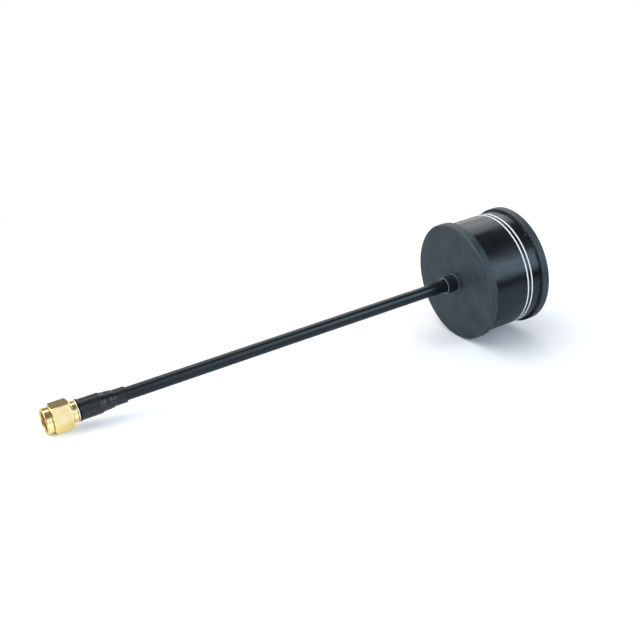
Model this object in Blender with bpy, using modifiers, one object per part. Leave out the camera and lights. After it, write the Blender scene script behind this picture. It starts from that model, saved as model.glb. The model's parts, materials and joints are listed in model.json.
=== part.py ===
"""An antenna for video flying: a round drum on a stiff coaxial stalk with a screw-on plug.

All pieces share one axis. A station is a distance along it from the front face of the coupling nut.
The antenna lies on a floor at z = 0, on the nose of its nut and the rim of its drum's base cap.
"""

import math

import bmesh
import bpy
from mathutils import Vector

MM = 0.001

# Facets round the drum, round the plug and the stalk, and round the pin and the cable's core
DRUM_SIDES = 64
PLUG_SIDES = 32
CORE_SIDES = 16

# Clearances
SLIDING_FIT = 0.03 * MM  # on the radius, between a piece and the one round it
SEATED_GAP = 0.03 * MM  # where one face rests on another
EASED_EDGE = 0.12 * MM  # broken edges of small turned pieces
CUTTER_MARGIN = 1.0 * MM  # how far a cutter runs past what it cuts
CREASE_ANGLE = math.radians(32)  # a sharper edge is shaded as an edge
WIRE_RESOLUTION = 2
SCREW_MERGE = 0.001 * MM

# Coaxial stalk, from the inside out
CORE_RADIUS = 0.46 * MM
DIELECTRIC_WALL = 0.97 * MM
SHIELD_WALL = 0.3 * MM
JACKET_WALL = 0.17 * MM
DIELECTRIC_RADIUS = CORE_RADIUS + SLIDING_FIT + DIELECTRIC_WALL
SHIELD_RADIUS = DIELECTRIC_RADIUS + SLIDING_FIT + SHIELD_WALL
JACKET_RADIUS = SHIELD_RADIUS + SLIDING_FIT + JACKET_WALL

# Pin, insulator and shell of the plug
REFERENCE_PLANE = 2.9 * MM  # front of the shell, where the two halves of the coupling meet
PIN_RADIUS = 0.455 * MM
PIN_REACH = 2.0 * MM
PIN_POINT = 0.4 * MM
PIN_POINT_RADIUS = 0.2 * MM
PIN_CUP_WALL = 0.145 * MM
PIN_CUP_DEPTH = 2.1 * MM
CORE_IN_PIN = 2.0 * MM
PIN_BODY_RADIUS = CORE_RADIUS + SLIDING_FIT + PIN_CUP_WALL
INSULATOR_RADIUS = 2.03 * MM
INSULATOR_SETBACK = 0.65 * MM  # from the back of the neck to the insulator's rear face
CABLE_SETBACK = 0.1 * MM  # end of the cable behind the insulator
SHELL_TIP_WALL = 0.24 * MM
SHELL_TIP_LENGTH = 2.1 * MM
SHELL_TIP_STEP = 0.2 * MM
SHELL_TIP_RADIUS = INSULATOR_RADIUS + SLIDING_FIT + SHELL_TIP_WALL
SHELL_BODY_RADIUS = SHELL_TIP_RADIUS + SHELL_TIP_STEP
NECK_SHOULDER = 0.7 * MM
NECK_LENGTH = 1.3 * MM
NECK_RADIUS = SHELL_BODY_RADIUS + NECK_SHOULDER
STEM_WALL = 0.38 * MM
STEM_LENGTH = 3.3 * MM
STEM_RADIUS = SHIELD_RADIUS + SLIDING_FIT + STEM_WALL

# Coupling nut
NUT_LENGTH = 7.8 * MM
HEX_ACROSS_FLATS = 8.0 * MM
HEX_CHAMFER_ANGLE = math.radians(30)
HEX_FACE_INSET = 0.2 * MM  # circle that the chamfer leaves on each end, inside the flats
NOSE_LENGTH = 2.05 * MM
NOSE_RADIUS = 3.9 * MM
NOSE_EDGE = 0.2 * MM
NOSE_ROOT = 2.0 * MM  # how far the nose's bar runs on inside the hexagon
THREAD_RADIUS = 2.85 * MM  # crests of the quarter-inch coupling thread
THREAD_DEPTH = 4.2 * MM
MOUTH_CHAMFER = 0.45 * MM
RELIEF_DEPTH = 0.4 * MM
RELIEF_LENGTH = 0.75 * MM
NUT_SLACK = 0.15 * MM  # end play between the nut and the shell's neck

# Snap ring that holds the nut on the shell and lets it turn
RING_WIRE_RADIUS = 0.27 * MM
RING_OPENING = math.radians(40)
RING_POINTS = 25
RING_RADIUS = SHELL_BODY_RADIUS

# Gasket on the inner web of the nut
GASKET_THICKNESS = 0.65 * MM
GASKET_CLEARANCE = 0.05 * MM

# Stepped ferrule behind the shell, and the heat-shrunk boot over it
FERRULE_LIP_GAP = 0.1 * MM
FERRULE_LIP_RADIUS = 3.2 * MM
FERRULE_LIP_LENGTH = 0.4 * MM
FERRULE_WALL = 0.445 * MM
FERRULE_TAIL_WALL = 0.3 * MM
FERRULE_BODY_LENGTH = 6.55 * MM
FERRULE_TAIL_LENGTH = 3.0 * MM
FERRULE_RADIUS = STEM_RADIUS + SLIDING_FIT + FERRULE_WALL
FERRULE_TAIL_RADIUS = JACKET_RADIUS + SLIDING_FIT + FERRULE_TAIL_WALL
JACKET_STRIP = 0.5 * MM  # bare shield between the shell's stem and the jacket
BOOT_WALL = 0.415 * MM
BOOT_TAIL_LENGTH = 4.8 * MM
BOOT_SHOULDER = 0.6 * MM  # half the length of the slope over each step of the ferrule
BOOT_LIP = 0.14 * MM  # rounding of the boot's cut ends
BOOT_FLARE = 0.22 * MM  # rolled front end of the boot, standing out by this much
BOOT_FLARE_LENGTH = 0.6 * MM
LIP_POINTS = 3
STEP_POINTS = 5

# Drum: two caps on a sleeve
CAP_FACE = 139.7 * MM
CAP_THICKNESS = 2.85 * MM
CAP_OVERHANG = 0.9 * MM
CAP_EDGE = 0.4 * MM
CAP_BACK_EDGE = 0.15 * MM
COLLAR_MOUTH_GAP = 0.28 * MM
COLLAR_WALL = 0.53 * MM
COLLAR_HEIGHT = 4.0 * MM
COLLAR_DEPTH = 3.4 * MM
COLLAR_FILLET = 0.3 * MM
FILLET_POINTS = 4
COLLAR_BORE = JACKET_RADIUS + COLLAR_MOUTH_GAP
COLLAR_RADIUS = COLLAR_BORE + COLLAR_WALL
SLEEVE_RADIUS = 18.8 * MM
SLEEVE_WALL = 1.5 * MM
SLEEVE_LENGTH = 18.15 * MM
CAP_RADIUS = SLEEVE_RADIUS + CAP_OVERHANG
SPIGOT_WALL = 1.3 * MM
SPIGOT_LENGTH = 1.6 * MM
SPIGOT_RADIUS = SLEEVE_RADIUS - SLEEVE_WALL - SLIDING_FIT
LID_JOINT = 0.27 * MM  # open line between the sleeve and the top cap
LID_OVERHANG = 0.85 * MM
LID_THICKNESS = 2.7 * MM
LID_RADIUS = SLEEVE_RADIUS + LID_OVERHANG

# White lines let into the sleeve
LINE_NAMES = ("upper_white_line", "lower_white_line")
LINE_FROM_END = 3.63 * MM  # middle of the upper line, from the sleeve's top end
LINE_SPACING = 1.55 * MM
LINE_WIDTH = 0.55 * MM
LINE_DEPTH = 0.3 * MM

# Wire leaves, each one wavelength round, tilted and fed at the middle of the drum
WAVELENGTH = 51.8 * MM
LEAF_COUNT = 4
LEAF_ARM = 13.6 * MM
LEAF_TILT = math.radians(45)
LEAF_WIRE_RADIUS = 0.5 * MM
LEAF_BEND = 1.5 * MM
BEND_POINTS = 3
ARC_POINTS = 12

# Solder joints, each a slice of a ball round the hub, with heights from the hub
CORE_JOINT_RADIUS = 1.75 * MM
CORE_JOINT_BASE = 0.35 * MM
CORE_JOINT_TOP = 1.55 * MM
SHIELD_JOINT_RADIUS = 2.95 * MM
SHIELD_JOINT_BASE = -2.2 * MM
SHIELD_JOINT_TOP = -0.9 * MM
JOINT_ARC_POINTS = 4
SHIELD_END = -0.8 * MM
DIELECTRIC_END = -0.3 * MM
CORE_END = 1.2 * MM

# Stations that follow from the sizes
WEB_STATION = THREAD_DEPTH + RELIEF_LENGTH
RING_STATION = (WEB_STATION + NUT_LENGTH) / 2
NECK_STATION = NUT_LENGTH + NUT_SLACK
NECK_END = NECK_STATION + NECK_LENGTH
STEM_END = NECK_END + STEM_LENGTH
INSULATOR_END = NECK_END - INSULATOR_SETBACK
CABLE_START = INSULATOR_END + CABLE_SETBACK
JACKET_START = STEM_END + JACKET_STRIP
FERRULE_START = NECK_END + FERRULE_LIP_GAP
FERRULE_LIP_END = FERRULE_START + FERRULE_LIP_LENGTH
FERRULE_STEP = FERRULE_LIP_END + FERRULE_BODY_LENGTH
FERRULE_END = FERRULE_STEP + FERRULE_TAIL_LENGTH
BOOT_START = FERRULE_LIP_END + SEATED_GAP
BOOT_END = FERRULE_END + BOOT_TAIL_LENGTH
CAP_BACK = CAP_FACE + CAP_THICKNESS
SLEEVE_START = CAP_BACK + SEATED_GAP
SLEEVE_END = SLEEVE_START + SLEEVE_LENGTH
LINE_STATIONS = (SLEEVE_END - LINE_FROM_END, SLEEVE_END - LINE_FROM_END - LINE_SPACING)
LID_FACE = SLEEVE_END + LID_JOINT
HUB_STATION = (CAP_BACK + LID_FACE) / 2


def make_collection(name):
    collection = bpy.data.collections.new(name)
    bpy.context.scene.collection.children.link(collection)
    return collection


def make_material(name, colour, roughness, metallic):
    material = bpy.data.materials.new(name)
    material.use_nodes = True
    shader = material.node_tree.nodes["Principled BSDF"]
    shader.inputs["Base Color"].default_value = (*colour, 1.0)
    shader.inputs["Roughness"].default_value = roughness
    shader.inputs["Metallic"].default_value = metallic
    material.diffuse_color = (*colour, 1.0)
    return material


def evaluated_mesh(piece):
    """The piece's mesh with its modifiers or its bevel built in."""
    bpy.context.view_layer.update()
    graph = bpy.context.evaluated_depsgraph_get()
    return bpy.data.meshes.new_from_object(piece.evaluated_get(graph))


def settle(piece):
    """Build the modifiers into the mesh, and shade its round faces smooth."""
    mesh = evaluated_mesh(piece)
    piece.modifiers.clear()
    piece.data = mesh
    mesh.shade_smooth()
    mesh.set_sharp_from_angle(angle=CREASE_ANGLE)


def runs_inside_out(outline):
    """True where an outline climbs its outer side."""
    ends = zip(outline, outline[1:] + outline[:1])
    return sum(a[0] * b[1] - b[0] * a[1] for a, b in ends) > 0


def turn(name, outline, sides, collection):
    """Turn an outline of (radius, station) points round the axis, with a flat towards the floor.

    An outline that starts and ends at radius 0 makes a solid, and any other one makes a ring.
    """
    if runs_inside_out(outline):
        outline = outline[::-1]
    solid = outline[0][0] == 0 and outline[-1][0] == 0
    mesh = bpy.data.meshes.new(name)
    edges = [(i, i + 1) for i in range(len(outline) - 1)]
    if not solid:
        edges.append((len(outline) - 1, 0))
    half_facet = math.pi / sides
    start = Vector((math.cos(half_facet), math.sin(half_facet), 0))
    points = [start * radius + Vector((0, 0, station)) for radius, station in outline]
    mesh.from_pydata(points, edges, [])
    piece = bpy.data.objects.new(name, mesh)
    collection.objects.link(piece)
    screw = piece.modifiers.new("Turn", "SCREW")
    screw.axis = "Z"
    screw.steps = sides
    screw.render_steps = sides
    screw.use_merge_vertices = True
    screw.merge_threshold = SCREW_MERGE
    settle(piece)
    return piece


def tube(inner, outer, start, end):
    """Outline of a plain ring."""
    return [(outer, end), (outer, start), (inner, start), (inner, end)]


def round_corner(centre, radius, first, last, points):
    """Points on a round of an outline, between two angles counted from the outward direction."""
    angles = [first + (last - first) * i / (points - 1) for i in range(points)]
    return [(centre[0] + radius * math.cos(a), centre[1] + radius * math.sin(a)) for a in angles]


def combine(target, tool, operation):
    modifier = target.modifiers.new(operation.title(), "BOOLEAN")
    modifier.operation = operation
    modifier.solver = "EXACT"
    modifier.object = tool
    settle(target)


def keep_as_cutter(piece):
    piece.hide_render = True
    piece.display_type = "WIRE"


def finish(piece, material, axis):
    piece.data.materials.clear()
    piece.data.materials.append(material)
    piece.parent = axis
    return piece


def hexagon_bar(cutters):
    """A hexagonal bar with one flat towards the floor, and the shape that chamfers both its ends."""
    length = NUT_LENGTH - NOSE_LENGTH
    corner_radius = HEX_ACROSS_FLATS / 2 / math.cos(math.pi / 6)
    mesh = bmesh.new()
    bmesh.ops.create_cone(
        mesh, cap_ends=True, segments=6, radius1=corner_radius, radius2=corner_radius, depth=length
    )
    bmesh.ops.translate(mesh, verts=mesh.verts, vec=(0, 0, NOSE_LENGTH + length / 2))
    data = bpy.data.meshes.new("coupling_nut")
    mesh.to_mesh(data)
    mesh.free()
    bar = bpy.data.objects.new("coupling_nut", data)

    face_radius = HEX_ACROSS_FLATS / 2 - HEX_FACE_INSET
    wide = corner_radius + CUTTER_MARGIN
    rise = (wide - face_radius) * math.tan(HEX_CHAMFER_ANGLE)
    limit = [
        (0, NUT_LENGTH),
        (face_radius, NUT_LENGTH),
        (wide, NUT_LENGTH - rise),
        (wide, NOSE_LENGTH + rise),
        (face_radius, NOSE_LENGTH),
        (0, NOSE_LENGTH),
    ]
    return bar, turn("hexagon_chamfer", limit, 2 * PLUG_SIDES, cutters)


def make_coupling_nut(parts, cutters):
    nut, chamfer = hexagon_bar(cutters)
    parts.objects.link(nut)
    combine(nut, chamfer, "INTERSECT")

    nose = [
        (0, NOSE_LENGTH + NOSE_ROOT),
        (NOSE_RADIUS, NOSE_LENGTH + NOSE_ROOT),
        (NOSE_RADIUS, NOSE_EDGE),
        (NOSE_RADIUS - NOSE_EDGE, 0),
        (0, 0),
    ]
    nose_piece = turn("nut_nose", nose, PLUG_SIDES, cutters)
    combine(nut, nose_piece, "UNION")

    groove_radius = RING_RADIUS + RING_WIRE_RADIUS + SLIDING_FIT
    groove_half = RING_WIRE_RADIUS + SLIDING_FIT
    rear_radius = SHELL_BODY_RADIUS + SLIDING_FIT
    bore = [
        (0, NUT_LENGTH + CUTTER_MARGIN),
        (rear_radius, NUT_LENGTH + CUTTER_MARGIN),
        (rear_radius, RING_STATION + groove_half),
        (groove_radius, RING_STATION + groove_half),
        (groove_radius, RING_STATION - groove_half),
        (rear_radius, RING_STATION - groove_half),
        (rear_radius, WEB_STATION),
        (THREAD_RADIUS + RELIEF_DEPTH, WEB_STATION),
        (THREAD_RADIUS + RELIEF_DEPTH, THREAD_DEPTH),
        (THREAD_RADIUS, THREAD_DEPTH),
        (THREAD_RADIUS, MOUTH_CHAMFER),
        (THREAD_RADIUS + MOUTH_CHAMFER, 0),
        (THREAD_RADIUS + MOUTH_CHAMFER, -CUTTER_MARGIN),
        (0, -CUTTER_MARGIN),
    ]
    bore_cutter = turn("nut_bore", bore, PLUG_SIDES, cutters)
    combine(nut, bore_cutter, "DIFFERENCE")
    for cutter in (chamfer, nose_piece, bore_cutter):
        keep_as_cutter(cutter)
    return nut


def make_snap_ring(parts):
    """A round wire bent to an open ring."""
    curve = bpy.data.curves.new("snap_ring", "CURVE")
    curve.dimensions = "3D"
    curve.bevel_depth = RING_WIRE_RADIUS
    curve.bevel_resolution = WIRE_RESOLUTION
    curve.use_fill_caps = True
    spline = curve.splines.new("POLY")
    spline.points.add(RING_POINTS - 1)
    sweep = 2 * math.pi - RING_OPENING
    for index, point in enumerate(spline.points):
        angle = RING_OPENING / 2 + sweep * index / (RING_POINTS - 1)
        point.co = (RING_RADIUS * math.cos(angle), RING_RADIUS * math.sin(angle), RING_STATION, 1)
    ring = bpy.data.objects.new("snap_ring", curve)
    parts.objects.link(ring)
    return ring


def make_gasket(parts):
    end = WEB_STATION - SEATED_GAP
    inner = SHELL_TIP_RADIUS + SLIDING_FIT
    outer = THREAD_RADIUS + RELIEF_DEPTH - GASKET_CLEARANCE
    return turn("sealing_gasket", tube(inner, outer, end - GASKET_THICKNESS, end), PLUG_SIDES, parts)


def make_shell(parts):
    """The plug's turned body: tip, ring groove, neck and stem outside, two bores inside."""
    tip_end = REFERENCE_PLANE + SHELL_TIP_LENGTH
    groove_radius = RING_RADIUS - RING_WIRE_RADIUS - SLIDING_FIT
    groove_half = RING_WIRE_RADIUS + SLIDING_FIT
    insulator_bore = INSULATOR_RADIUS + SLIDING_FIT
    cable_bore = SHIELD_RADIUS + SLIDING_FIT
    outline = [
        (STEM_RADIUS, STEM_END),
        (STEM_RADIUS, NECK_END),
        (NECK_RADIUS - EASED_EDGE, NECK_END),
        (NECK_RADIUS, NECK_END - EASED_EDGE),
        (NECK_RADIUS, NECK_STATION + EASED_EDGE),
        (NECK_RADIUS - EASED_EDGE, NECK_STATION),
        (SHELL_BODY_RADIUS, NECK_STATION),
        (SHELL_BODY_RADIUS, RING_STATION + groove_half),
        (groove_radius, RING_STATION + groove_half),
        (groove_radius, RING_STATION - groove_half),
        (SHELL_BODY_RADIUS, RING_STATION - groove_half),
        (SHELL_BODY_RADIUS, tip_end),
        (SHELL_TIP_RADIUS, tip_end),
        (SHELL_TIP_RADIUS, REFERENCE_PLANE),
        (insulator_bore, REFERENCE_PLANE),
        (insulator_bore, INSULATOR_END + SEATED_GAP),
        (cable_bore, INSULATOR_END + SEATED_GAP),
        (cable_bore, STEM_END),
    ]
    return turn("connector_shell", outline, PLUG_SIDES, parts)


def make_insulator(parts):
    bore = PIN_BODY_RADIUS + SLIDING_FIT
    outline = tube(bore, INSULATOR_RADIUS, REFERENCE_PLANE, INSULATOR_END)
    return turn("contact_insulator", outline, PLUG_SIDES, parts)


def make_pin(parts):
    """The centre contact, pointed in front, with a cup behind that takes the cable's core."""
    tip = REFERENCE_PLANE - PIN_REACH
    cup_radius = CORE_RADIUS + SLIDING_FIT
    outline = [
        (0, tip),
        (PIN_POINT_RADIUS, tip),
        (PIN_RADIUS, tip + PIN_POINT),
        (PIN_RADIUS, REFERENCE_PLANE),
        (PIN_BODY_RADIUS, REFERENCE_PLANE),
        (PIN_BODY_RADIUS, INSULATOR_END),
        (cup_radius, INSULATOR_END),
        (cup_radius, INSULATOR_END - PIN_CUP_DEPTH),
        (0, INSULATOR_END - PIN_CUP_DEPTH),
    ]
    return turn("centre_pin", outline, CORE_SIDES, parts)


def make_ferrule(parts):
    front_bore = STEM_RADIUS + SLIDING_FIT
    cable_bore = JACKET_RADIUS + SLIDING_FIT
    outline = [
        (FERRULE_TAIL_RADIUS - EASED_EDGE, FERRULE_END),
        (FERRULE_TAIL_RADIUS, FERRULE_END - EASED_EDGE),
        (FERRULE_TAIL_RADIUS, FERRULE_STEP),
        (FERRULE_RADIUS - EASED_EDGE, FERRULE_STEP),
        (FERRULE_RADIUS, FERRULE_STEP - EASED_EDGE),
        (FERRULE_RADIUS, FERRULE_LIP_END),
        (FERRULE_LIP_RADIUS - EASED_EDGE, FERRULE_LIP_END),
        (FERRULE_LIP_RADIUS, FERRULE_LIP_END - EASED_EDGE),
        (FERRULE_LIP_RADIUS, FERRULE_START + EASED_EDGE),
        (FERRULE_LIP_RADIUS - EASED_EDGE, FERRULE_START),
        (front_bore, FERRULE_START),
        (front_bore, STEM_END + SEATED_GAP),
        (cable_bore, STEM_END + SEATED_GAP),
        (cable_bore, FERRULE_END),
    ]
    return turn("cable_ferrule", outline, PLUG_SIDES, parts)


def make_boot(parts):
    """Heat-shrink tubing of one wall thickness, drawn down over the ferrule's steps and the stalk."""
    wide_seat = FERRULE_RADIUS + SLIDING_FIT
    middle_seat = FERRULE_TAIL_RADIUS + SLIDING_FIT
    stalk_seat = JACKET_RADIUS + SLIDING_FIT
    wide, middle, narrow = wide_seat + BOOT_WALL, middle_seat + BOOT_WALL, stalk_seat + BOOT_WALL
    front_lip = (wide + BOOT_FLARE - BOOT_LIP, BOOT_START + BOOT_LIP)
    rear_lip = (narrow - BOOT_LIP, BOOT_END - BOOT_LIP)
    outline = round_corner(rear_lip, BOOT_LIP, math.pi / 2, 0, LIP_POINTS)
    outline += eased_step(middle, narrow, FERRULE_END + BOOT_WALL / 2)
    outline += eased_step(wide, middle, FERRULE_STEP + BOOT_WALL / 2)
    outline.append((wide, BOOT_START + BOOT_FLARE_LENGTH))
    outline += round_corner(front_lip, BOOT_LIP, 0, -math.pi / 2, LIP_POINTS)
    outline += [
        (wide_seat, BOOT_START),
        (wide_seat, FERRULE_STEP + SEATED_GAP),
        (middle_seat, FERRULE_STEP + SEATED_GAP),
        (middle_seat, FERRULE_END + SEATED_GAP),
        (stalk_seat, FERRULE_END + SEATED_GAP),
        (stalk_seat, BOOT_END),
    ]
    return turn("heat_shrink_boot", outline, PLUG_SIDES, parts)


def eased_step(wide, narrow, station):
    """A soft S between the narrow skin and the wide one, round the station of a step."""
    points = []
    for index in range(STEP_POINTS):
        share = 1 - 2 * index / (STEP_POINTS - 1)
        skin = narrow + (wide - narrow) * (1 - math.sin(share * math.pi / 2)) / 2
        points.append((skin, station + share * BOOT_SHOULDER))
    return points


def make_stalk(parts):
    """The coaxial cable from the inside out: core, dielectric, shield tube and jacket."""
    core_start = CABLE_START - CORE_IN_PIN
    core_end = HUB_STATION + CORE_END
    core = [(0, core_end), (CORE_RADIUS, core_end), (CORE_RADIUS, core_start), (0, core_start)]
    dielectric_bore = CORE_RADIUS + SLIDING_FIT
    dielectric = tube(dielectric_bore, DIELECTRIC_RADIUS, CABLE_START, HUB_STATION + DIELECTRIC_END)
    shield = tube(DIELECTRIC_RADIUS + SLIDING_FIT, SHIELD_RADIUS, CABLE_START, HUB_STATION + SHIELD_END)
    jacket = tube(SHIELD_RADIUS + SLIDING_FIT, JACKET_RADIUS, JACKET_START, CAP_BACK)
    return [
        turn("cable_core", core, CORE_SIDES, parts),
        turn("cable_dielectric", dielectric, PLUG_SIDES, parts),
        turn("cable_shield", shield, PLUG_SIDES, parts),
        turn("cable_jacket", jacket, PLUG_SIDES, parts),
    ]


def make_base_cap(parts):
    """The cap on the stalk's side: collar, rimmed plate, and a spigot that enters the sleeve."""
    spigot_tip = CAP_BACK + SPIGOT_LENGTH
    collar_tip = CAP_FACE - COLLAR_HEIGHT
    cable_bore = JACKET_RADIUS + SLIDING_FIT
    fillet_centre = (COLLAR_RADIUS + COLLAR_FILLET, CAP_FACE - COLLAR_FILLET)
    outline = [
        (SPIGOT_RADIUS - SPIGOT_WALL, spigot_tip),
        (SPIGOT_RADIUS - CAP_BACK_EDGE, spigot_tip),
        (SPIGOT_RADIUS, spigot_tip - CAP_BACK_EDGE),
        (SPIGOT_RADIUS, CAP_BACK),
        (CAP_RADIUS - CAP_BACK_EDGE, CAP_BACK),
        (CAP_RADIUS, CAP_BACK - CAP_BACK_EDGE),
        (CAP_RADIUS, CAP_FACE + CAP_EDGE),
        (CAP_RADIUS - CAP_EDGE, CAP_FACE),
    ]
    outline += round_corner(fillet_centre, COLLAR_FILLET, math.pi / 2, math.pi, FILLET_POINTS)
    outline += [
        (COLLAR_RADIUS, collar_tip + EASED_EDGE),
        (COLLAR_RADIUS - EASED_EDGE, collar_tip),
        (COLLAR_BORE, collar_tip),
        (COLLAR_BORE, collar_tip + COLLAR_DEPTH),
        (cable_bore, collar_tip + COLLAR_DEPTH),
        (cable_bore, CAP_BACK),
        (SPIGOT_RADIUS - SPIGOT_WALL, CAP_BACK),
    ]
    return turn("base_cap", outline, DRUM_SIDES, parts)


def make_top_cap(parts):
    spigot_tip = LID_FACE - SPIGOT_LENGTH
    lid_back = LID_FACE + LID_THICKNESS
    outline = [
        (0, lid_back),
        (LID_RADIUS - CAP_EDGE, lid_back),
        (LID_RADIUS, lid_back - CAP_EDGE),
        (LID_RADIUS, LID_FACE + CAP_BACK_EDGE),
        (LID_RADIUS - CAP_BACK_EDGE, LID_FACE),
        (SPIGOT_RADIUS, LID_FACE),
        (SPIGOT_RADIUS, spigot_tip + CAP_BACK_EDGE),
        (SPIGOT_RADIUS - CAP_BACK_EDGE, spigot_tip),
        (SPIGOT_RADIUS - SPIGOT_WALL, spigot_tip),
        (SPIGOT_RADIUS - SPIGOT_WALL, LID_FACE),
        (0, LID_FACE),
    ]
    return turn("top_cap", outline, DRUM_SIDES, parts)


def make_sleeve(parts):
    """The drum's wall, with a shallow groove for each white line."""
    groove_floor = SLEEVE_RADIUS - LINE_DEPTH
    outline = [(SLEEVE_RADIUS, SLEEVE_END)]
    for station in LINE_STATIONS:
        high, low = station + LINE_WIDTH / 2, station - LINE_WIDTH / 2
        outline += [(SLEEVE_RADIUS, high), (groove_floor, high)]
        outline += [(groove_floor, low), (SLEEVE_RADIUS, low)]
    outline += [
        (SLEEVE_RADIUS, SLEEVE_START),
        (SLEEVE_RADIUS - SLEEVE_WALL, SLEEVE_START),
        (SLEEVE_RADIUS - SLEEVE_WALL, SLEEVE_END),
    ]
    return turn("housing_sleeve", outline, DRUM_SIDES, parts)


def make_white_lines(parts):
    inner = SLEEVE_RADIUS - LINE_DEPTH + SLIDING_FIT
    half = LINE_WIDTH / 2 - SEATED_GAP
    return [
        turn(name, tube(inner, SLEEVE_RADIUS, station - half, station + half), DRUM_SIDES, parts)
        for name, station in zip(LINE_NAMES, LINE_STATIONS)
    ]


def leaf_path():
    """One leaf in its own plane, as (outward, across) points from the lower arm to the upper one."""
    half_angle = (WAVELENGTH - 2 * LEAF_ARM) / (2 * LEAF_ARM)
    lower_start = SHIELD_JOINT_RADIUS + SEATED_GAP
    upper_end = CORE_JOINT_RADIUS + SEATED_GAP
    bend_angle = LEAF_BEND / LEAF_ARM
    corner_in = LEAF_ARM - LEAF_BEND
    path = [polar(lower_start, -half_angle)]
    path += rounded_corner(-half_angle, corner_in, bend_angle)
    for index in range(1, ARC_POINTS):
        share = index / ARC_POINTS
        angle = (half_angle - bend_angle) * (2 * share - 1)
        path.append(polar(LEAF_ARM, angle))
    path += [(x, -y) for x, y in reversed(rounded_corner(-half_angle, corner_in, bend_angle))]
    path.append(polar(upper_end, half_angle))
    return path


def polar(distance, angle):
    return distance * math.cos(angle), distance * math.sin(angle)


def rounded_corner(angle, corner_in, bend_angle):
    """The bend from an arm into the arc, drawn towards the corner that it rounds off."""
    first = polar(corner_in, angle)
    corner = polar(LEAF_ARM, angle)
    last = polar(LEAF_ARM, angle + bend_angle)
    bend = []
    for index in range(BEND_POINTS + 1):
        share = index / BEND_POINTS
        weights = ((1 - share) ** 2, 2 * share * (1 - share), share**2)
        bend.append(
            tuple(sum(w * p[axis] for w, p in zip(weights, (first, corner, last))) for axis in range(2))
        )
    return bend


def make_leaves(parts):
    leaves = []
    for number in range(LEAF_COUNT):
        turn_angle = 2 * math.pi * number / LEAF_COUNT
        outward = Vector((math.cos(turn_angle), math.sin(turn_angle), 0))
        sideways = Vector((-math.sin(turn_angle), math.cos(turn_angle), 0))
        across = sideways * math.cos(LEAF_TILT) + Vector((0, 0, math.sin(LEAF_TILT)))
        hub = Vector((0, 0, HUB_STATION))
        name = f"antenna_leaf_{number + 1}"
        curve = bpy.data.curves.new(name, "CURVE")
        curve.dimensions = "3D"
        curve.bevel_depth = LEAF_WIRE_RADIUS
        curve.bevel_resolution = WIRE_RESOLUTION
        curve.use_fill_caps = True
        path = leaf_path()
        spline = curve.splines.new("POLY")
        spline.points.add(len(path) - 1)
        for point, (x, y) in zip(spline.points, path):
            point.co = (*(hub + outward * x + across * y), 1)
        leaf = bpy.data.objects.new(name, curve)
        parts.objects.link(leaf)
        leaves.append(leaf)
    return leaves


def joint_arc(radius, low, high):
    """Points on a ball round the hub, from height low to height high, as (radius, station)."""
    first, last = math.asin(low / radius), math.asin(high / radius)
    return round_corner((0, HUB_STATION), radius, first, last, JOINT_ARC_POINTS)


def make_joints(parts):
    """Solder that joins the upper arms to the core, and the lower arms to the shield."""
    core_bore = CORE_RADIUS + SLIDING_FIT
    bore_end = HUB_STATION + CORE_END + SEATED_GAP
    core_joint = [(0, bore_end), (core_bore, bore_end), (core_bore, HUB_STATION + CORE_JOINT_BASE)]
    core_joint += joint_arc(CORE_JOINT_RADIUS, CORE_JOINT_BASE, CORE_JOINT_TOP)
    core_joint.append((0, HUB_STATION + CORE_JOINT_TOP))

    shield_bore = SHIELD_RADIUS + SLIDING_FIT
    shield_joint = joint_arc(SHIELD_JOINT_RADIUS, SHIELD_JOINT_BASE, SHIELD_JOINT_TOP)
    shield_joint.append((shield_bore, HUB_STATION + SHIELD_JOINT_TOP))
    shield_joint.append((shield_bore, HUB_STATION + SHIELD_JOINT_BASE))
    return [
        turn("core_solder_joint", core_joint, PLUG_SIDES, parts),
        turn("shield_solder_joint", shield_joint, PLUG_SIDES, parts),
    ]


def lay_on_floor(axis, pieces):
    """Tip the axis until the nut's nose and the base cap's rim touch the floor at z = 0."""
    nose = (NOSE_EDGE, NOSE_RADIUS * math.cos(math.pi / PLUG_SIDES))
    rim = (CAP_FACE + CAP_EDGE, CAP_RADIUS * math.cos(math.pi / DRUM_SIDES))
    tilt = math.atan2(rim[1] - nose[1], rim[0] - nose[0])
    axis.rotation_euler = (0, math.pi / 2 - tilt, 0)
    bpy.context.view_layer.update()
    graph = bpy.context.evaluated_depsgraph_get()
    corners = []
    for piece in pieces:
        shape = piece.evaluated_get(graph)
        mesh = shape.to_mesh()
        corners += [shape.matrix_world @ vertex.co for vertex in mesh.vertices]
        shape.to_mesh_clear()
    low = Vector([min(corner[i] for corner in corners) for i in range(3)])
    high = Vector([max(corner[i] for corner in corners) for i in range(3)])
    middle = (low + high) / 2
    axis.location = (-middle.x, -middle.y, -low.z)


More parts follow.
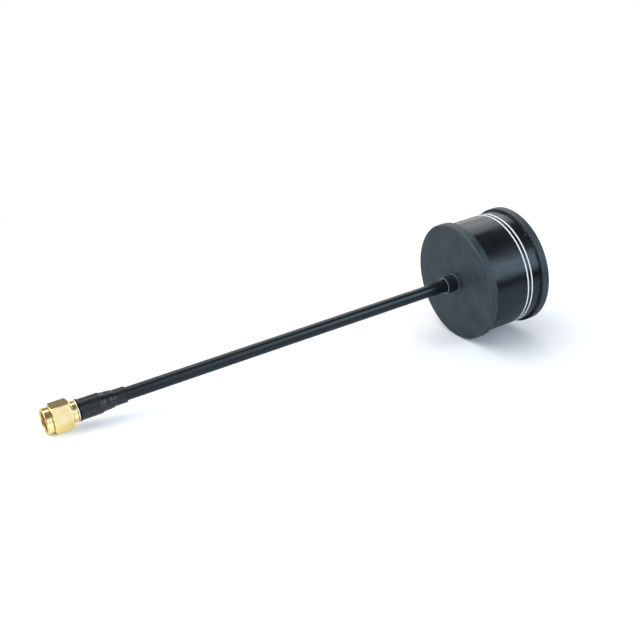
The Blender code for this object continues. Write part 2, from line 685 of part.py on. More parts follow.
def main():
    for item in list(bpy.data.objects):
        bpy.data.objects.remove(item, do_unlink=True)
    parts = make_collection("fpv_antenna")
    cutters = make_collection("cutters")
    axis = bpy.data.objects.new("antenna_axis", None)
    parts.objects.link(axis)

    gold = make_material("gold_plating", (0.86, 0.66, 0.3), 0.22, 1.0)
    spring_wire = make_material("spring_wire", (0.6, 0.55, 0.48), 0.35, 1.0)
    silicone = make_material("silicone", (0.62, 0.2, 0.09), 0.6, 0.0)
    fluoropolymer = make_material("fluoropolymer", (0.85, 0.85, 0.83), 0.45, 0.0)
    ferrule_plating = make_material("ferrule_plating", (0.9, 0.82, 0.62), 0.25, 1.0)
    heat_shrink = make_material("heat_shrink", (0.012, 0.013, 0.015), 0.5, 0.0)
    jacket_skin = make_material("jacket_skin", (0.008, 0.009, 0.01), 0.25, 0.0)
    tinned_copper = make_material("tinned_copper", (0.7, 0.68, 0.64), 0.35, 1.0)
    copper = make_material("copper", (0.78, 0.42, 0.24), 0.3, 1.0)
    solder = make_material("solder", (0.62, 0.62, 0.6), 0.4, 1.0)
    cap_plastic = make_material("cap_plastic", (0.06, 0.065, 0.07), 0.65, 0.0)
    sleeve_plastic = make_material("sleeve_plastic", (0.008, 0.009, 0.011), 0.2, 0.0)
    white_paint = make_material("white_paint", (0.85, 0.86, 0.87), 0.5, 0.0)

    core, dielectric, shield, jacket = make_stalk(parts)
    core_joint, shield_joint = make_joints(parts)
    finishes = [
        (make_coupling_nut(parts, cutters), gold),
        (make_snap_ring(parts), spring_wire),
        (make_gasket(parts), silicone),
        (make_shell(parts), gold),
        (make_insulator(parts), fluoropolymer),
        (make_pin(parts), gold),
        (make_ferrule(parts), ferrule_plating),
        (make_boot(parts), heat_shrink),
        (core, copper),
        (dielectric, fluoropolymer),
        (shield, tinned_copper),
        (jacket, jacket_skin),
        (make_base_cap(parts), cap_plastic),
        (make_sleeve(parts), sleeve_plastic),
        (make_top_cap(parts), cap_plastic),
        (core_joint, solder),
        (shield_joint, solder),
    ]
    finishes += [(line, white_paint) for line in make_white_lines(parts)]
    finishes += [(leaf, copper) for leaf in make_leaves(parts)]
    pieces = [finish(piece, material, axis) for piece, material in finishes]
    for cutter in cutters.objects:
        cutter.parent = axis
    lay_on_floor(axis, pieces)


main()
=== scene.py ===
# An antenna for video flying, lying on a pale floor as in the photograph.
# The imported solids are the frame. Each piece is made again here with finer edges and its own finish.
# Lengths in the dictionaries are in millimetres, and a station is a distance along the antenna's axis
# from the front of the coupling nut. A turned outline lists its corners as (radius, station, fillet).

import json
import math

import bmesh
import bpy
from mathutils import Matrix, Vector, noise


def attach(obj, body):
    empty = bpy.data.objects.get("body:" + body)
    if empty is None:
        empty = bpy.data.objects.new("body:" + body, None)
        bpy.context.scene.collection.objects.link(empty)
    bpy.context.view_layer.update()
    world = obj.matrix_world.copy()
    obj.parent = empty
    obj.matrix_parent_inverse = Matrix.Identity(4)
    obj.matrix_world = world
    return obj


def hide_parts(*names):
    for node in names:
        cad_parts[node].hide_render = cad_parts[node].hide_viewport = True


mm = 0.001
clearance = 0.03  # between pieces that sit in one another
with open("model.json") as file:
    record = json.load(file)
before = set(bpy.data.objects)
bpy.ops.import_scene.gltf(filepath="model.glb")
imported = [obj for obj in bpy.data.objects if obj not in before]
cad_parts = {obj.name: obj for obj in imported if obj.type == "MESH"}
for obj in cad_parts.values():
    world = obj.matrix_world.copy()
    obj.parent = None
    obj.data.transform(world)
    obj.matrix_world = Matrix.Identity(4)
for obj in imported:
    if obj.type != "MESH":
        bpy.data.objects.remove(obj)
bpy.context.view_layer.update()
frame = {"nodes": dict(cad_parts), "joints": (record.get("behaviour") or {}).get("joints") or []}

# The nut's joint lies on the antenna's axis, so it gives the frame that every piece is made in
spin = frame["joints"][0]
along = Vector(spin["axis"]).normalized()
floorSide = Vector((along.z, 0, -along.x))
axisTurn = Matrix((floorSide, along.cross(floorSide), along)).transposed()
axisFrame = Matrix.Translation(Vector(spin["pos_m"])) @ axisTurn.to_4x4()
axisInverse = axisFrame.inverted()
print("frame loaded:", len(frame["nodes"]), "solids")


# Meshes: turned shapes, seating, shapes cut by others

def roundCorners(corners, closed, steps=4, hold=0.04, largest=0.45):
    # a holding point beside each fillet keeps the flats flat; largest is the share of a side it may take
    points = []
    count = len(corners)
    for index, (x, y, fillet) in enumerate(corners):
        here = Vector((x, y))
        if not fillet or (not closed and index in (0, count - 1)):
            points.append((x, y))
            continue
        before = Vector(corners[index - 1][:2]) - here
        after = Vector(corners[(index + 1) % count][:2]) - here
        half = before.angle(after) / 2
        reach = min(fillet / math.tan(half), largest * before.length, largest * after.length)
        radius = reach * math.tan(half)
        toBefore, toAfter = before.normalized(), after.normalized()
        first, last = here + toBefore * reach, here + toAfter * reach
        centre = here + (toBefore + toAfter).normalized() * (radius / math.sin(half))
        if reach + hold < before.length / 2:
            points.append(tuple(first + toBefore * hold))
        start, end = first - centre, last - centre
        for step in range(steps + 1):
            points.append(tuple(centre + start.slerp(end, step / steps).normalized() * radius))
        if reach + hold < after.length / 2:
            points.append(tuple(last + toAfter * hold))
    return points


def cleanMesh(mesh, merge=0.001):
    bmesh.ops.remove_doubles(mesh, verts=mesh.verts, dist=merge * mm)
    bmesh.ops.recalc_face_normals(mesh, faces=mesh.faces)


def turnMesh(corners, sides, closed=True):
    mesh = bmesh.new()
    outline = roundCorners(corners, closed)
    points = [mesh.verts.new((radius * mm, 0, station * mm)) for radius, station in outline]
    edges = [mesh.edges.new(pair) for pair in zip(points, points[1:])]
    if closed:
        edges.append(mesh.edges.new((points[-1], points[0])))
    turn = {"axis": (0, 0, 1), "angle": 2 * math.pi, "steps": sides}
    bmesh.ops.spin(mesh, geom=points + edges, use_merge=True, **turn)
    cleanMesh(mesh)
    return mesh


def addObject(name, data):
    piece = bpy.data.objects.new(name, data)
    bpy.context.scene.collection.objects.link(piece)
    return piece


def meshObject(name, mesh):
    data = bpy.data.meshes.new(name)
    mesh.to_mesh(data)
    mesh.free()
    return addObject(name, data)


def builtMesh(piece):
    # the plain mesh that a piece's modifiers or its curve give
    graph = bpy.context.evaluated_depsgraph_get()
    return bpy.data.meshes.new_from_object(piece.evaluated_get(graph))


def settle(piece):
    data = builtMesh(piece)
    piece.modifiers.clear()
    piece.data = data


def combine(piece, operation, corners, sides):
    # join, keep or cut away a turned shape
    tool = meshObject("turnedTool", turnMesh(corners, sides, False))
    modifier = piece.modifiers.new(operation.title(), "BOOLEAN")
    modifier.operation = operation
    modifier.solver = "EXACT"
    modifier.object = tool
    settle(piece)
    bpy.data.objects.remove(tool)


def seat(piece, look, body, node, crease=30):
    # from the axis frame to the antenna's place, with its finish, on its body
    piece.data.transform(axisFrame)
    piece.data.materials.clear()
    piece.data.materials.append(looks[look])
    piece.data.shade_smooth()
    piece.data.set_sharp_from_angle(angle=math.radians(crease))
    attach(piece, body)
    if node:
        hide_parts(node)


def turned(name, corners, look, node, sides, closed=True):
    seat(meshObject(name, turnMesh(corners, sides, closed)), look, "antenna", node)


# Node trees, for shapes and for finishes

def setSocket(tree, socket, value):
    # the value is another socket, to link, or plain; a colour comes without its alpha
    if isinstance(value, bpy.types.NodeSocket):
        tree.links.new(value, socket)
    elif socket.type == "RGBA":
        socket.default_value = (*value, 1.0)
    else:
        socket.default_value = value


def addNode(tree, kind, inputs=None, **settings):
    node = tree.nodes.new(kind)
    for key, value in settings.items():
        setattr(node, key, value)
    for key, value in (inputs or {}).items():
        setSocket(tree, node.inputs[key], value)
    return node


def mathValue(tree, operation, *values):
    return addNode(tree, "ShaderNodeMath", dict(enumerate(values)), operation=operation).outputs["Value"]


def vectorValue(tree, operation, *values):
    # a length or a distance comes as a number, any other result as a vector
    node = addNode(tree, "ShaderNodeVectorMath", dict(enumerate(values)), operation=operation)
    return node.outputs["Value" if operation in ("LENGTH", "DISTANCE") else "Vector"]


def spread(tree, value, low, high, fromLow=0.3, fromHigh=0.7, **settings):
    # noise keeps mostly between 0.3 and 0.7
    node = addNode(
        tree,
        "ShaderNodeMapRange",
        {"Value": value, "From Min": fromLow, "From Max": fromHigh, "To Min": low, "To Max": high},
        **settings,
    )
    return node.outputs["Result"]


def newTree(name, sizes, counts=()):
    # every shape tree takes its sizes, its counts and its finish by name
    tree = bpy.data.node_groups.new(name, "GeometryNodeTree")
    tree.interface.new_socket("Geometry", in_out="OUTPUT", socket_type="NodeSocketGeometry")
    for labels, kind in ((sizes, "Float"), (counts, "Int"), (["Finish"], "Material")):
        for label in labels:
            tree.interface.new_socket(label, in_out="INPUT", socket_type="NodeSocket" + kind)
    return tree, addNode(tree, "NodeGroupInput").outputs


def endTree(tree, given, shape):
    # every shape tree ends in real geometry with its finish
    real = addNode(tree, "GeometryNodeRealizeInstances", {"Geometry": shape}).outputs["Geometry"]
    finish = addNode(tree, "GeometryNodeSetMaterial", {"Geometry": real, "Material": given["Finish"]})
    addNode(tree, "NodeGroupOutput", {"Geometry": finish.outputs["Geometry"]})
    return tree


def circleCurve(tree, sides, radius):
    circle = addNode(tree, "GeometryNodeCurvePrimitiveCircle", {"Resolution": sides, "Radius": radius})
    return circle.outputs["Curve"]


def sweep(tree, path, profile, caps=False):
    inputs = {"Curve": path, "Profile Curve": profile, "Fill Caps": caps}
    return addNode(tree, "GeometryNodeCurveToMesh", inputs).outputs["Mesh"]


def growPiece(name, tree, values):
    # run a shape tree on an empty mesh, and keep what it makes
    piece = addObject(name, bpy.data.meshes.new(name))
    modifier = piece.modifiers.new(name, "NODES")
    modifier.node_group = tree
    for item in tree.interface.items_tree:
        if item.in_out == "INPUT":
            modifier[item.identifier] = values[item.name]
    settle(piece)
    if not piece.data.polygons:
        raise RuntimeError(name + " came out empty")
    mesh = bmesh.new()
    mesh.from_mesh(piece.data)
    cleanMesh(mesh, 0.0005)
    mesh.to_mesh(piece.data)
    mesh.free()
    return piece


# Finishes
# A layer of noise has the size of a feature in millimetres, its detail and roughness, a stretch around and
# along the axis and, where it raises the skin, a depth in millimetres and a strength.

def startLook(name, **sockets):
    look = bpy.data.materials.new(name)
    look.use_nodes = True
    tree = look.node_tree
    shader = tree.nodes["Principled BSDF"]
    for key, value in sockets.items():
        setSocket(tree, shader.inputs[key.replace("_", " ")], value)
    return look, tree, shader


def setSkin(tree, shader, tone, roughness):
    tree.links.new(tone, shader.inputs["Base Color"])
    tree.links.new(roughness, shader.inputs["Roughness"])


def mapped(tree, place, **inputs):
    return addNode(tree, "ShaderNodeMapping", {"Vector": place, **inputs}).outputs["Vector"]


def axisCoordinates(tree, around=1, along=1):
    # object coordinates turned so that Z runs along the antenna's axis, in millimetres
    place = addNode(tree, "ShaderNodeTexCoord").outputs["Object"]
    place = mapped(tree, place, Location=axisInverse.to_translation(), Rotation=axisInverse.to_euler())
    return mapped(tree, place, Scale=[part / mm for part in (around, around, along)])


def noiseLayer(tree, size, detail=3.0, rough=0.55, around=1, along=1):
    place = axisCoordinates(tree, around, along)
    inputs = {"Vector": place, "Scale": 1 / size, "Detail": detail, "Roughness": rough}
    return addNode(tree, "ShaderNodeTexNoise", inputs).outputs["Fac"]


def bump(tree, shader, height, depth, strength=1.0):
    inputs = {"Height": height, "Distance": depth * mm, "Strength": strength}
    node = addNode(tree, "ShaderNodeBump", inputs)
    previous = shader.inputs["Normal"].links
    if previous:
        tree.links.new(previous[0].from_socket, node.inputs["Normal"])
    tree.links.new(node.outputs["Normal"], shader.inputs["Normal"])


def relief(tree, shader, depth, strength=1.0, **layer):
    bump(tree, shader, noiseLayer(tree, **layer), depth, strength)


def blendColour(tree, share, first, second):
    node = addNode(tree, "ShaderNodeMix", {"Factor": share}, data_type="RGBA")
    colourInputs = [socket for socket in node.inputs if socket.type == "RGBA"]
    for socket, colour in zip(colourInputs, (first, second)):
        setSocket(tree, socket, colour)
    return [socket for socket in node.outputs if socket.type == "RGBA"][0]


def greatest(tree, shares):
    share = shares[0]
    for other in shares[1:]:
        share = mathValue(tree, "MAXIMUM", share, other)
    return share


def edgeShare(tree, place, edges, core=0.3):
    # 1 on each turned edge, given as (radius, station, reach), falling to 0 from its core to its reach
    radius = vectorValue(tree, "LENGTH", vectorValue(tree, "MULTIPLY", place, (1, 1, 0)))
    station = addNode(tree, "ShaderNodeSeparateXYZ", {"Vector": place}).outputs["Z"]
    here = addNode(tree, "ShaderNodeCombineXYZ", {"X": radius, "Y": station}).outputs["Vector"]
    shares = []
    for atRadius, atStation, reach in edges:
        far = vectorValue(tree, "DISTANCE", here, (atRadius, atStation, 0))
        shares.append(spread(tree, far, 1, 0, core * reach, reach))
    return greatest(tree, shares)


def spotShare(tree, place, spots):
    # 1 in each spot, given as (radius, angle in degrees, station, half width, half length), 0 at its edge
    shares = []
    for radius, angle, station, halfWidth, halfLength in spots:
        turn = math.radians(angle)
        centre = Vector((radius * math.cos(turn), radius * math.sin(turn), station))
        stretch = Vector((1, 1, halfLength / halfWidth))
        stretched = vectorValue(tree, "MULTIPLY", place, stretch)
        far = vectorValue(tree, "DISTANCE", stretched, centre * stretch)
        shares.append(spread(tree, far, 1, 0, 0, halfLength))
    return greatest(tree, shares)


goldLook = {
    "pale": (1.0, 0.84, 0.45),
    "deep": (0.98, 0.77, 0.35),
    "paintedCornerShade": (0.16, 0.11, 0.04),
    "paintedCornerShadeEdges": ((3.76, 1.95, 0.19), (3.2, 9.3, 0.16)),
    "shade": (0.5, 0.36, 0.13),
    "shadeEdges": ((3.5, 0.0, 0.62), (3.2, 0.6, 0.7)),
    "roughness": (0.09, 0.2),
    "blotch": {"size": 1.6},
    "blotchDepth": 0.004,
    "brushed": {"size": 0.5, "around": 0.4, "along": 6},
    "ringPitch": 0.5655,
    "ringWander": 0.4,
    "ringDepth": 0.0006,
}
waveBand = 2 * math.pi / 20  # the width of the Wave node's band at a scale of 1


def makeGold(name):
    look, tree, shader = startLook(name, Metallic=1.0)
    place = axisCoordinates(tree)
    blotch = noiseLayer(tree, **goldLook["blotch"])
    tone = blendColour(tree, spread(tree, blotch, 0, 1), goldLook["pale"], goldLook["deep"])
    # painted shade: the gold is darkened in the root groove behind the nose, at the neck's rear corner,
    # round the mouth and just inside it
    for kind in ("paintedCornerShade", "shade"):
        tone = blendColour(tree, edgeShare(tree, place, goldLook[kind + "Edges"]), tone, goldLook[kind])
    brushed = noiseLayer(tree, **goldLook["brushed"])
    setSkin(tree, shader, tone, spread(tree, brushed, *goldLook["roughness"]))
    scale, wander = waveBand / goldLook["ringPitch"], goldLook["ringWander"]
    inputs = {"Vector": place, "Scale": scale, "Distortion": wander, "Detail": 1.0}
    rings = addNode(tree, "ShaderNodeTexWave", inputs, bands_direction="Z")
    bump(tree, shader, rings.outputs["Fac"], goldLook["ringDepth"])
    bump(tree, shader, blotch, goldLook["blotchDepth"])
    return look


ferruleLook = {
    "light": (0.95, 0.9, 0.78),
    "dull": (0.86, 0.76, 0.55),
    "patch": {"size": 0.8},
    "roughness": (0.14, 0.3),
    "turning": {"size": 0.4, "around": 0.3, "along": 5, "depth": 0.001},
}


def makeFerruleFinish():
    look, tree, shader = startLook("ferrulePlating", Metallic=1.0)
    patch = noiseLayer(tree, **ferruleLook["patch"])
    tone = blendColour(tree, spread(tree, patch, 0, 1), ferruleLook["light"], ferruleLook["dull"])
    setSkin(tree, shader, tone, spread(tree, patch, *ferruleLook["roughness"]))
    relief(tree, shader, **ferruleLook["turning"])
    return look


bootLook = {
    "black": (0.005, 0.007, 0.009),
    "grey": (0.011, 0.0145, 0.0175),
    "cloud": {"size": 1.4, "detail": 4, "along": 0.35},
    "paintedShadeTone": (0.001, 0.0012, 0.0015),
    "paintedShadeEdges": ((3.28, 9.82, 0.55), (2.42, 24.07, 0.3)),
    "paintedShadeMirror": 0.06,
    "wearAndPaintedHighlight": (0.055, 0.064, 0.068),
    "paintedHighlightSpots": (
        (2.95, -106, 16.2, 0.42, 1.25),
        (2.85, -107, 17.1, 0.5, 1.3),
        (2.7, -108, 19.2, 0.4, 1.2),
        (2.5, -114, 20.55, 0.6, 0.9),
        (2.95, -163, 16.9, 0.6, 0.7),
        (2.55, -163, 20.2, 0.5, 0.6),
    ),
    "paintedShadeCreases": ((2.55, -122, 19.87, 0.2, 0.95), (2.85, -135, 17.0, 0.16, 0.6)),
    "mirror": 0.42,
    "roughness": (0.22, 0.33),
    "grain": {"size": 0.12, "detail": 2, "depth": 0.006, "strength": 0.6},
    "ripple": {"size": 0.9, "along": 0.25, "depth": 0.013, "strength": 0.7},
}


def makeHeatShrink():
    look, tree, shader = startLook("heatShrink")
    place = axisCoordinates(tree)
    # painted shade: a near-black tone with a weaker mirror on the rolled front lip, at the rear edge where
    # the boot meets the stalk, and along the two creases
    cut = edgeShare(tree, place, bootLook["paintedShadeEdges"])
    cut = greatest(tree, [cut, spotShare(tree, place, bootLook["paintedShadeCreases"])])
    mirror = spread(tree, cut, bootLook["mirror"], bootLook["paintedShadeMirror"], 0, 1)
    tree.links.new(mirror, shader.inputs["Specular IOR Level"])
    cloud = noiseLayer(tree, **bootLook["cloud"])
    tone = blendColour(tree, spread(tree, cloud, 0, 1), bootLook["black"], bootLook["grey"])
    # painted highlights: lighter patches on the slopes of the two steps and along their tops
    tone = blendColour(tree, spotShare(tree, place, bootLook["paintedHighlightSpots"]), tone, bootLook["wearAndPaintedHighlight"])
    tone = blendColour(tree, cut, tone, bootLook["paintedShadeTone"])
    setSkin(tree, shader, tone, spread(tree, cloud, *bootLook["roughness"]))
    relief(tree, shader, **bootLook["grain"])
    relief(tree, shader, **bootLook["ripple"])
    return look


coolMirror = (0.8, 0.94, 1.0)  # the hard black plastics mirror white slightly blue


def startPlastic(name, values):
    return startLook(name, Specular_IOR_Level=values["mirror"], Specular_Tint=coolMirror)


jacketLook = {
    "black": (0.0062, 0.0075, 0.0092),
    "worn": (0.0095, 0.0115, 0.0135),
    "mirror": 0.41,
    "roughness": (0.22, 0.32),
    "wearAndPaintedHighlight": {"size": 3.0, "detail": 5, "along": 0.3},
    "streak": {"size": 0.35, "detail": 4, "along": 0.04, "depth": 0.003, "strength": 0.8},
}


def makeJacketSkin():
    look, tree, shader = startPlastic("jacketSkin", jacketLook)
    wearAndPaintedHighlight = noiseLayer(tree, **jacketLook["wearAndPaintedHighlight"])
    tone = blendColour(tree, spread(tree, wearAndPaintedHighlight, 0, 1), jacketLook["black"], jacketLook["worn"])
    setSkin(tree, shader, tone, spread(tree, wearAndPaintedHighlight, *jacketLook["roughness"]))
    relief(tree, shader, **jacketLook["streak"])
    return look


capLook = {
    "dark": (0.012, 0.0205, 0.026),
    "light": (0.037, 0.048, 0.0575),
    "mottle": {"size": 0.5, "detail": 5, "rough": 0.7},
    "cloud": {"size": 7.0, "rough": 0.5},
    "toneRange": (0.84, 1.16),
    "mirror": 0.45,
    "roughness": (0.44, 0.56),
    "paintedRimHighlight": (0.05, 0.062, 0.072),
    "paintedRimHighlights": ((19.5, 139.85, 0.3), (19.5, 163.55, 0.25), (19.6, 161.1, 0.2)),
    "paintedCollarShade": (0.006, 0.0085, 0.011),
    "paintedCollarShades": ((2.75, 137.5, 3.0),),
    "paintedBaseHighlight": (0.085, 0.1, 0.105),
    "paintedBaseHighlights": ((2.98, 139.62, 0.2),),
    "paintedCollarLipHighlight": (0.17, 0.195, 0.2),
    "paintedCollarLipHighlights": ((2.53, 135.7, 0.3),),
    "grain": {"size": 0.16, "rough": 0.6, "depth": 0.012, "strength": 0.7},
}


def makeCapPlastic():
    look, tree, shader = startPlastic("capPlastic", capLook)
    place = axisCoordinates(tree)
    layers = [noiseLayer(tree, **capLook[kind]) for kind in ("mottle", "cloud")]
    share = spread(tree, mathValue(tree, "ADD", *layers), 0, 1, *capLook["toneRange"])
    tone = blendColour(tree, share, capLook["dark"], capLook["light"])
    # painted highlights on the rims' edges, round the collar's base and on its lip; painted shade over the
    # collar's side and the face round it
    for kind in ("paintedRimHighlight", "paintedCollarShade", "paintedBaseHighlight", "paintedCollarLipHighlight"):
        tone = blendColour(tree, edgeShare(tree, place, capLook[kind + "s"]), tone, capLook[kind])
    setSkin(tree, shader, tone, spread(tree, share, *capLook["roughness"], 0, 1))
    relief(tree, shader, **capLook["grain"])
    return look


sleeveLook = {
    "black": (0.0036, 0.0047, 0.0062),
    "hazy": (0.0085, 0.0105, 0.0125),
    "haze": {"size": 4.0, "detail": 6, "rough": 0.68, "along": 0.5},
    "mirror": 0.4,
    "roughness": (0.16, 0.32),
    "peel": {"size": 2.4, "detail": 2, "depth": 0.024},
    "drawn": {"size": 0.5, "along": 0.06, "depth": 0.0015},
    "fleck": (0.75, 0.77, 0.8),
    "fleckPlace": (-14.53, -11.93, 160.10),
    "fleckRadius": 0.13,
    "fleckCore": 0.091,
}


def makeSleevePlastic():
    look, tree, shader = startPlastic("sleevePlastic", sleeveLook)
    haze = noiseLayer(tree, **sleeveLook["haze"])
    tone = blendColour(tree, spread(tree, haze, 0, 1), sleeveLook["black"], sleeveLook["hazy"])
    # one fleck of dust, as in the photograph
    far = vectorValue(tree, "DISTANCE", axisCoordinates(tree), sleeveLook["fleckPlace"])
    share = spread(tree, far, 1, 0, sleeveLook["fleckCore"], sleeveLook["fleckRadius"])
    tone = blendColour(tree, share, tone, sleeveLook["fleck"])
    setSkin(tree, shader, tone, spread(tree, haze, *sleeveLook["roughness"]))
    relief(tree, shader, **sleeveLook["peel"])
    relief(tree, shader, **sleeveLook["drawn"])
    return look


# the plain finishes: name, first and second tone, size of a patch, roughness, relief, metal or not
plainLooks = {
    "line": ("whitePaint", (0.92, 0.96, 1.0), (0.82, 0.87, 0.93), 0.5, (0.42, 0.6), 0.01, 0.0),
    "spring": ("springWire", (0.66, 0.6, 0.5), (0.5, 0.43, 0.34), 0.6, (0.25, 0.4), 0.002, 1.0),
    "silicone": ("siliconeRubber", (0.55, 0.17, 0.08), (0.43, 0.12, 0.06), 0.7, (0.5, 0.7), 0.006, 0.0),
    "insulator": ("fluoropolymer", (0.86, 0.86, 0.83), (0.76, 0.76, 0.72), 1.0, (0.34, 0.5), 0.004, 0.0),
    # in the glue, the lighter second tone is painted glints along the joint
    "glue": ("setGlue", (0.006, 0.007, 0.008), (0.14, 0.15, 0.16), 0.45, (0.12, 0.3), 0.02, 0.0),
    "copper": ("platedCopper", (0.8, 0.5, 0.34), (0.72, 0.6, 0.5), 1.5, (0.22, 0.4), 0.003, 1.0),
    "tinned": ("tinnedCopper", (0.72, 0.7, 0.66), (0.6, 0.57, 0.52), 0.9, (0.3, 0.5), 0.004, 1.0),
    "solder": ("solder", (0.7, 0.7, 0.69), (0.5, 0.5, 0.49), 0.5, (0.15, 0.45), 0.015, 1.0),
}


def makePlainFinish(name, first, second, size, roughness, depth, metallic):
    # two tones in noise, with roughness and relief that follow it
    look, tree, shader = startLook(name, Metallic=metallic)
    patch = noiseLayer(tree, size, 4)
    tone = blendColour(tree, spread(tree, patch, 0, 1), first, second)
    setSkin(tree, shader, tone, spread(tree, patch, *roughness))
    bump(tree, shader, patch, depth)
    return look


looks = {
    "nut": makeGold("goldNut"),
    "shell": makeGold("goldShell"),
    "ferrule": makeFerruleFinish(),
    "boot": makeHeatShrink(),
    "jacket": makeJacketSkin(),
    "cap": makeCapPlastic(),
    "sleeve": makeSleevePlastic(),
}
for key, values in plainLooks.items():
    looks[key] = makePlainFinish(*values)
print("finishes made:", len(looks))


# Coupling nut, with its thread

nut = {
    "length": 7.8,
    "acrossFlats": 8.0,
    "cornerEase": 0.12,
    "chamferAngle": 30,
    "faceInset": 0.28,
    "noseLength": 2.05,
    "noseRadius": 3.9,
    "noseEdge": 0.2,
    "rootDepth": 0.16,
    "rootWidth": 0.26,
    "rootSlope": 0.08,
    "mouthRadius": 3.38,
    "mouthDepth": 0.3,
    "threadRoot": 3.12,
    "threadCrest": 2.86,
    "threadDepth": 4.2,
    "threadStart": 0.75,
    "threadEnd": 4.0,
    "threadPitch": 25.4 / 36,
    "threadPoints": 72,  # to one turn
    "ridgeBase": 0.86,  # the ridge's base and crest are shares of the pitch
    "ridgeCrest": 0.14,
    "ridgeSink": 0.02,
    "reliefRadius": 3.25,
    "web": 4.95,
    "rearRadius": 2.53,
    "rearEase": 0.2,
    "grooveRadius": 2.8,
    "grooveHalf": 0.3,
    "ringStation": 6.375,
    "edgeRound": 0.045,
    "easedFrom": 24,  # degrees between two faces, from which their edge is eased
    "flatFace": 1.5,  # square millimetres, from which a face stays flat
    "overrun": 1.0,
    "sides": 144,
}


def makeCouplingNut():
    length, nose, past, sides = nut["length"], nut["noseLength"], nut["overrun"], nut["sides"]
    corner = nut["acrossFlats"] / 2 / math.cos(math.pi / 6)
    bar = bmesh.new()
    size = {"radius1": corner * mm, "radius2": corner * mm, "depth": (length - nose) * mm}
    bmesh.ops.create_cone(bar, cap_ends=True, segments=6, **size)
    bmesh.ops.translate(bar, verts=bar.verts, vec=(0, 0, (length + nose) / 2 * mm))
    longEdges = [edge for edge in bar.edges if abs(edge.verts[0].co.z - edge.verts[1].co.z) > mm]
    ease = nut["cornerEase"] * mm
    bmesh.ops.bevel(bar, geom=longEdges, offset=ease, segments=3, profile=0.5, affect="EDGES")
    piece = meshObject("couplingNut", bar)

    face = nut["acrossFlats"] / 2 - nut["faceInset"]
    wide = corner + past
    rise = (wide - face) * math.tan(math.radians(nut["chamferAngle"]))
    chamfer = [
        (0, length, 0),
        (face, length, 0),
        (wide, length - rise, 0),
        (wide, nose + rise, 0),
        (face, nose, 0),
        (0, nose, 0),
    ]
    combine(piece, "INTERSECT", chamfer, sides)

    root, grooved = nut["noseRadius"] - nut["rootDepth"], nose - nut["rootWidth"]
    noseBar = [
        (0, nose + 2 * past, 0),
        (root, nose + 2 * past, 0),
        (root, grooved + nut["rootSlope"], 0),
        (nut["noseRadius"], grooved, 0.03),
        (nut["noseRadius"], 0, nut["noseEdge"]),
        (0, 0, 0),
    ]
    combine(piece, "UNION", noseBar, sides)

    rear, groove, ease = nut["rearRadius"], nut["grooveRadius"], nut["rearEase"]
    low, high = nut["ringStation"] - nut["grooveHalf"], nut["ringStation"] + nut["grooveHalf"]
    bore = [
        (0, length + past, 0),
        (rear + ease, length + past, 0),
        (rear + ease, length, 0),
        (rear, length - ease, 0),
        (rear, high, 0),
        (groove, high, 0),
        (groove, low, 0),
        (rear, low, 0),
        (rear, nut["web"], 0),
        (nut["reliefRadius"], nut["web"], 0),
        (nut["reliefRadius"], nut["threadDepth"], 0),
        (nut["threadRoot"], nut["threadDepth"], 0),
        (nut["threadRoot"], nut["mouthDepth"], 0),
        (nut["mouthRadius"], 0, 0),
        (nut["mouthRadius"], -past, 0),
        (0, -past, 0),
    ]
    combine(piece, "DIFFERENCE", bore, sides)

    bevel = piece.modifiers.new("Eased edges", "BEVEL")
    bevel.width = nut["edgeRound"] * mm
    bevel.segments = 2
    bevel.limit_method = "ANGLE"
    bevel.angle_limit = math.radians(nut["easedFrom"])
    settle(piece)
    seat(piece, "nut", "nut", "coupling_nut", crease=26)
    for part in piece.data.polygons:  # the facets and end faces stay flat up to their eased edges
        part.use_smooth = part.area < nut["flatFace"] * mm * mm


def makeThreadTree():
    # a ridge that winds along a spiral, sharp side inwards
    sizes = ("Turns", "Radius", "Height", "Ridge Base", "Ridge Crest", "Ridge Depth")
    tree, given = newTree("windThread", sizes, ["Points"])
    spiral = addNode(
        tree,
        "GeometryNodeCurveSpiral",
        {
            "Resolution": given["Points"],
            "Rotations": given["Turns"],
            "Start Radius": given["Radius"],
            "End Radius": given["Radius"],
            "Height": given["Height"],
        },
    )
    upright = addNode(tree, "GeometryNodeSetCurveNormal", {"Curve": spiral.outputs["Curve"]}, mode="Z_UP")
    ridge = addNode(
        tree,
        "GeometryNodeCurvePrimitiveQuadrilateral",
        {
            "Bottom Width": given["Ridge Base"],
            "Top Width": given["Ridge Crest"],
            "Height": given["Ridge Depth"],
            "Offset": 0.0,
        },
        mode="TRAPEZOID",
    )
    inwards = {"Geometry": ridge.outputs["Curve"], "Rotation": (0, 0, math.pi / 2)}
    profile = addNode(tree, "GeometryNodeTransform", inwards).outputs["Geometry"]
    return endTree(tree, given, sweep(tree, upright.outputs["Curve"], profile, True))


def makeThread():
    start, reach = nut["threadStart"], nut["threadEnd"] - nut["threadStart"]
    depth = nut["threadRoot"] - nut["threadCrest"] + nut["ridgeSink"]
    sizes = {
        "Turns": reach / nut["threadPitch"],
        "Radius": (nut["threadCrest"] + depth / 2) * mm,
        "Height": reach * mm,
        "Ridge Base": nut["ridgeBase"] * nut["threadPitch"] * mm,
        "Ridge Crest": nut["ridgeCrest"] * nut["threadPitch"] * mm,
        "Ridge Depth": depth * mm,
        "Points": nut["threadPoints"],
        "Finish": looks["nut"],
    }
    piece = growPiece("nutThread", makeThreadTree(), sizes)
    piece.data.transform(Matrix.Translation((0, 0, start * mm)))
    seat(piece, "nut", "nut", None)


makeCouplingNut()
makeThread()
print("coupling nut and thread made")


# Inside of the plug

